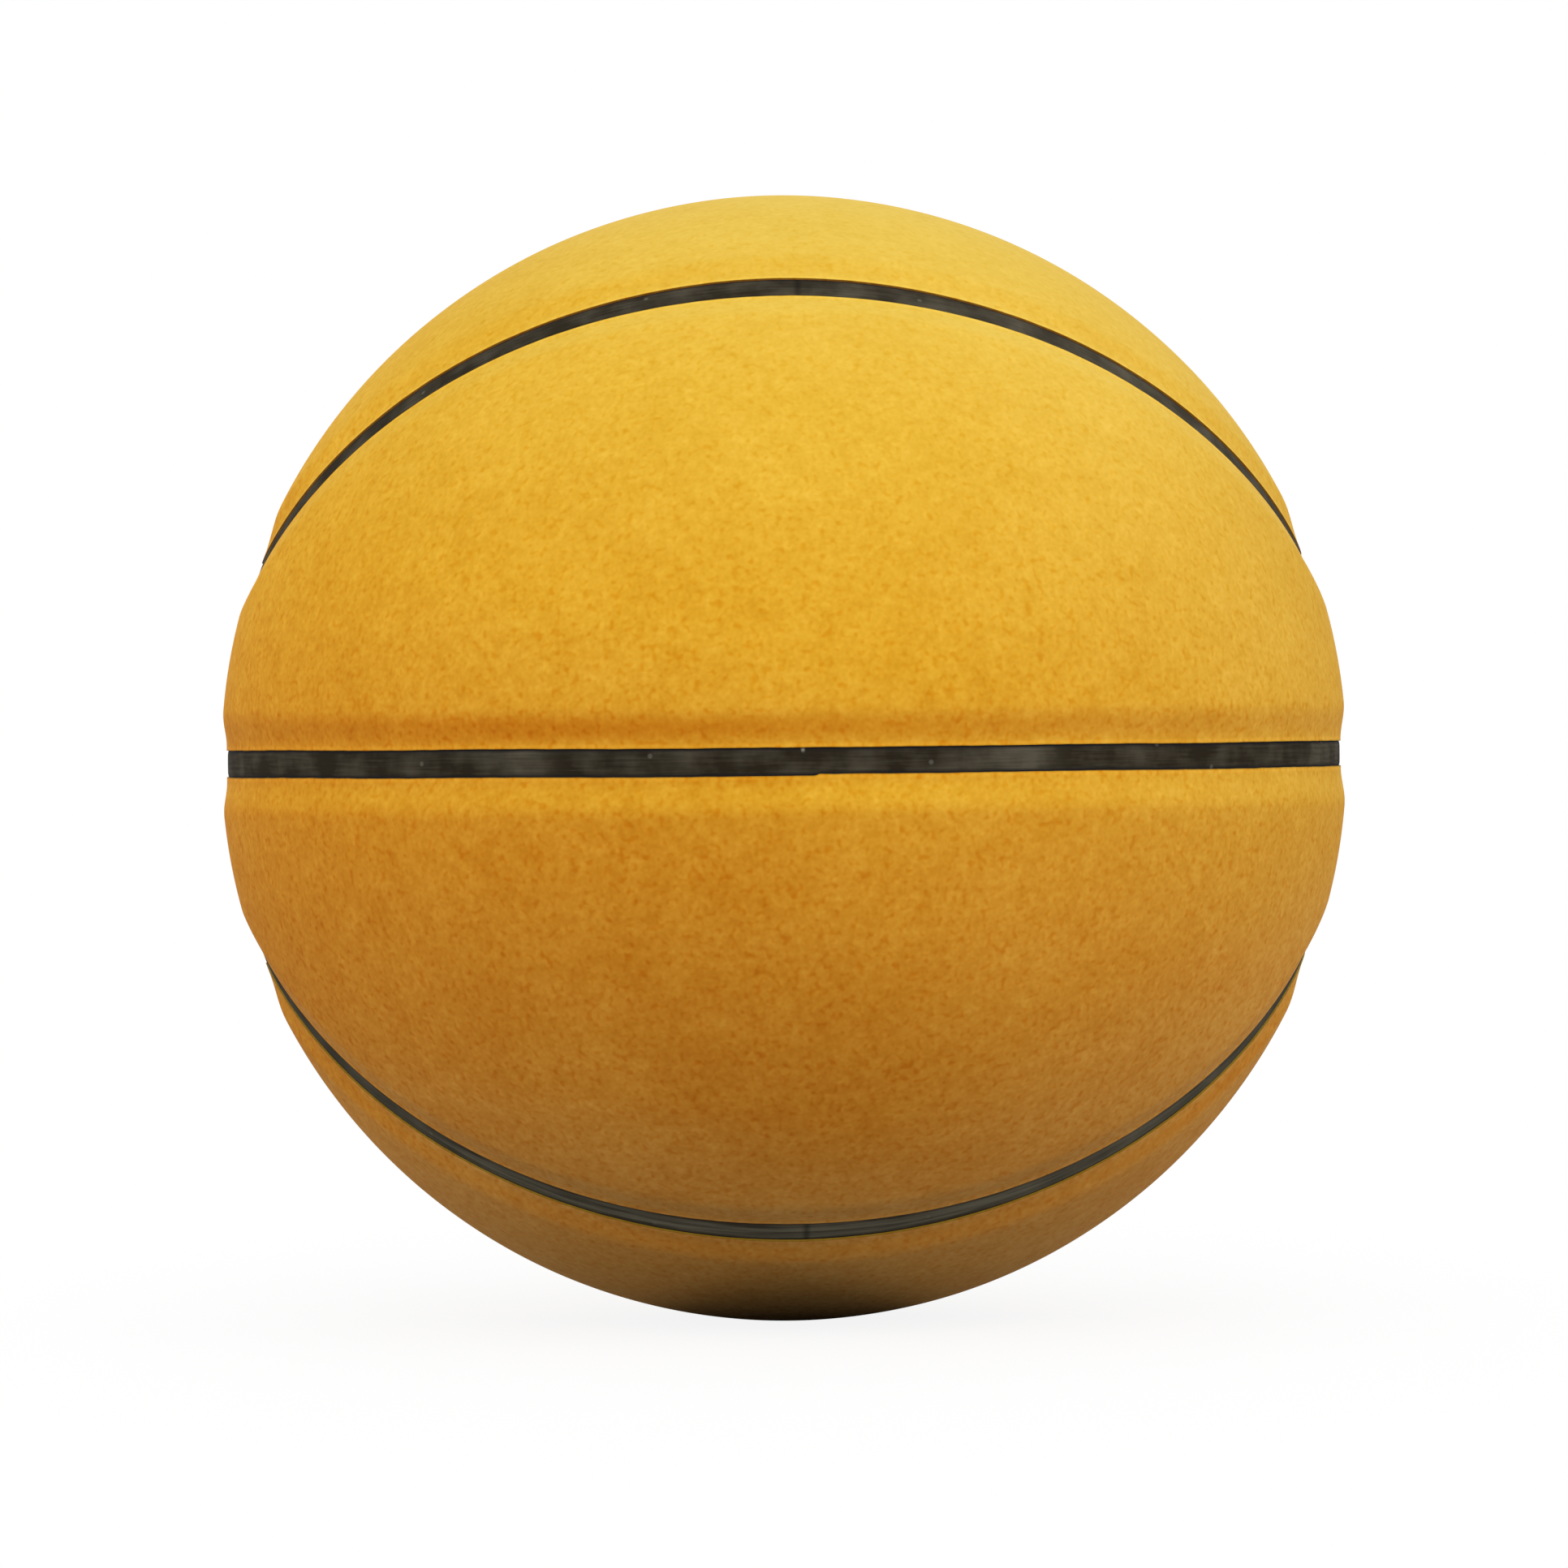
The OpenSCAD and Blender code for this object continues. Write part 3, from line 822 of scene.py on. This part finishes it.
for above, height in ((True, "upper"), (False, "lower")):
    turned = Vector((1, 1, 1 if above else -1))
    loop = layStrip(height + "_loop_strip", besideLoop, loopHalves,
                    evenAngles(front, front + math.tau), turned, True)
    halfLoop = pathTable(lambda angle: besideLoop(angle, 0), 0, math.pi)[1][-1]
    finishPiece(loop, height + "_loop_channel",
                channelRubber(height + "_loop_rubber", halfLoop, [rubber["loopScuff"]],
                              joints=[rubber["jointMark"]], dusting=rubber["dusting"][height]))
    # the cross channel's strips butt against the loops and the equator strip
    belowLoop = seams["loopSide"] - seams["loopHalf"] / ball["crown"]
    aboveLoop = seams["loopSide"] + seams["loopHalf"] / ball["crown"]
    pole = "top" if above else "bottom"
    overPole = layStrip("cross_strip_" + pole, besideCross, crossHalves,
                        evenAngles(aboveLoop, math.pi - aboveLoop), turned, False)
    finishPiece(overPole, "cross_channel_" + pole, stripRubber)
    for onRight, hand in ((True, "right"), (False, "left")):
        turned = Vector((1 if onRight else -1, 1, 1 if above else -1))
        short = layStrip("cross_strip_%s_%s" % (height, hand), besideCross, crossHalves,
                         evenAngles(seams["equatorHalf"] / ball["crown"], belowLoop), turned, False)
        finishPiece(short, "cross_channel_%s_%s" % (height, hand), stripRubber)

print("finishing the inner layers and the valve")
innerFinish = {
    "bladder": mouldedRubber("butyl_rubber", "#1C1C1E", roughness=0.45, fleck=0.002),
    "valve_patch": mouldedRubber("patch_rubber", "#202022", roughness=0.6, fleck=0.001),
    "thread_winding": woundThread("bonded_thread", "#D9CFBC", spacing=0.0004),
    "carcass": mouldedRubber("carcass_rubber", "#1E1E1E", roughness=0.7, fleck=0.0015),
    "valve_housing": mouldedRubber("valve_rubber", "#242425", roughness=0.5, fleck=0.0008),
    "valve_plug": mouldedRubber("plug_rubber", "#2B2B2C", roughness=0.45, fleck=0.0008),
}
for nodeName, material in innerFinish.items():
    nodes[nodeName].data.materials.clear()
    nodes[nodeName].data.materials.append(material)

# The studio

studio = dict(
    distance=16 * ball["crown"],           # the camera's place, tilt and lens
    elevation=math.radians(0.36),
    azimuth=math.radians(-0.87),
    roll=math.radians(-0.53),
    focal=206.57,
    sensor=36,
    farthest=200,
    aimDrop=0.00555,                       # how far below the ball's centre the camera points
    # the lamps: power, azimuth to the right of the front, elevation
    lamps=dict(
        key=(9.7, -15, 25),
        left=(8.6, -90, 8),
        right=(8.9, 60, 25),
        low=(2.2, 80, 3),
        back=(7, 180, 10),
    ),
    lampSize=1.4,
    lampDistance=1.6,
    fill=0.6,                              # light of the room from all sides
    floorHalf=40,
    floorSeen="#F8F7F5",                   # the floor as the camera sees it
    floorBounce="#969696",                 # the floor as the ball sees it
    paintedShadeUnderBall="#1A1A1A",                   # painted shade: the floor close to where the ball stands, dark to the ball to darken its underside
    underFrom=0.045,                       # from where it goes over into that tone, and by where it has
    underBy=0.075,
    spotShape=(2.0, 0.9, 0),               # distances stretched so, as the side lamps make that spot narrower
    floorGlow=0.88,                        # near the ball, share of the floor's white that no shadow takes
    whiteFrom=0.07,                        # where that share begins to grow, and by where no shadow is left
    whiteBy=0.43,
)


def layFloor():
    bm = bmesh.new()
    bmesh.ops.create_grid(bm, x_segments=1, y_segments=1, size=studio["floorHalf"])
    bmesh.ops.translate(bm, verts=bm.verts[:], vec=(0, 0, cadBox[0][2]))
    mesh = bpy.data.meshes.new("floor")
    bm.to_mesh(mesh)
    bm.free()
    floor = bpy.data.objects.new("floor", mesh)
    scene.collection.objects.link(floor)
    # A pale matt floor: white to the camera but for a soft shadow, greyer as the ball sees it, and dark right
    # under the ball as painted shade for the ball's underside
    material, tree = newMaterial("pale_floor")
    rays = addNode(tree, "ShaderNodeLightPath")
    place = addNode(tree, "ShaderNodeTexCoord").outputs["Object"]
    level = addNode(tree, "ShaderNodeVectorMath", {1: studio["spotShape"]}, {0: place},
                    operation="MULTIPLY").outputs["Vector"]
    away = addNode(tree, "ShaderNodeVectorMath", links={0: level}, operation="LENGTH").outputs["Value"]
    far = addNode(tree, "ShaderNodeMapRange",
                  {"From Min": studio["whiteFrom"], "From Max": studio["whiteBy"],
                   "To Min": studio["floorGlow"]},
                  {"Value": away}, interpolation_type="SMOOTHSTEP").outputs["Result"]
    clear = addNode(tree, "ShaderNodeMapRange",
                    {"From Min": studio["underFrom"], "From Max": studio["underBy"]},
                    {"Value": away}, interpolation_type="SMOOTHSTEP").outputs["Result"]
    mirrored = addNode(tree, "ShaderNodeMath", links={0: rays.outputs["Is Glossy Ray"], 1: clear},
                       operation="MULTIPLY").outputs[0]
    seen = addNode(tree, "ShaderNodeMath", links={0: rays.outputs["Is Camera Ray"], 1: mirrored},
                   operation="MAXIMUM").outputs[0]
    white = addNode(tree, "ShaderNodeMath", links={0: seen, 1: far}, operation="MULTIPLY").outputs[0]
    bounce = addNode(tree, "ShaderNodeMix",
                     {6: linearColour(studio["paintedShadeUnderBall"]), 7: linearColour(studio["floorBounce"])},
                     {0: clear}, data_type="RGBA").outputs[2]
    tone = addNode(tree, "ShaderNodeMix", {7: linearColour(studio["floorSeen"])}, {0: seen, 6: bounce},
                   data_type="RGBA").outputs[2]
    matt = addNode(tree, "ShaderNodeBsdfDiffuse", links={"Color": tone}).outputs[0]
    glow = addNode(tree, "ShaderNodeEmission", {"Color": (1, 1, 1, 1), "Strength": 1.0}).outputs[0]
    mix = addNode(tree, "ShaderNodeMixShader", links={0: white, 1: matt, 2: glow}).outputs[0]
    addNode(tree, "ShaderNodeOutputMaterial", links={"Surface": mix})
    floor.data.materials.append(material)


def aroundBall(azimuth, elevation, distance):
    return Vector((math.sin(azimuth) * math.cos(elevation), -math.cos(azimuth) * math.cos(elevation),
                   math.sin(elevation))) * distance


def hangLight(name, power, size, place):
    lamp = bpy.data.lights.new(name, "AREA")
    lamp.energy = power
    lamp.size = size
    light = bpy.data.objects.new(name, lamp)
    scene.collection.objects.link(light)
    light.location = place
    light.rotation_euler = (-place).to_track_quat("-Z", "Y").to_euler()


def lightRoom():
    world = bpy.data.worlds.new("studio")
    scene.world = world
    world.use_nodes = True
    tree = world.node_tree
    tree.nodes.clear()
    rays = addNode(tree, "ShaderNodeLightPath")
    seen = addNode(tree, "ShaderNodeMath",
                   links={0: rays.outputs["Is Camera Ray"], 1: rays.outputs["Is Glossy Ray"]},
                   operation="MAXIMUM").outputs[0]
    level = addNode(tree, "ShaderNodeMapRange", {"To Min": studio["fill"], "To Max": 1.0},
                    {"Value": seen}).outputs["Result"]
    sky = addNode(tree, "ShaderNodeBackground", {"Color": (1, 1, 1, 1)}, {"Strength": level}).outputs[0]
    addNode(tree, "ShaderNodeOutputWorld", links={"Surface": sky})


def placeCamera():
    data = bpy.data.cameras.new("camera")
    data.sensor_width = studio["sensor"]
    data.lens = studio["focal"]
    data.clip_end = studio["farthest"]
    camera = bpy.data.objects.new("camera", data)
    scene.collection.objects.link(camera)
    camera.location = aroundBall(studio["azimuth"], studio["elevation"], studio["distance"])
    aim = Vector((0, 0, -studio["aimDrop"])) - camera.location
    camera.rotation_euler = (aim.to_track_quat("-Z", "Y").to_matrix()
                             @ Matrix.Rotation(studio["roll"], 3, "Z")).to_euler()
    scene.camera = camera


print("lighting the studio")
scene.view_settings.view_transform = "Standard"
layFloor()
lightRoom()
for name, (power, azimuth, elevation) in studio["lamps"].items():
    hangLight(name, power, studio["lampSize"],
              aroundBall(math.radians(azimuth), math.radians(elevation), studio["lampDistance"]))
placeCamera()
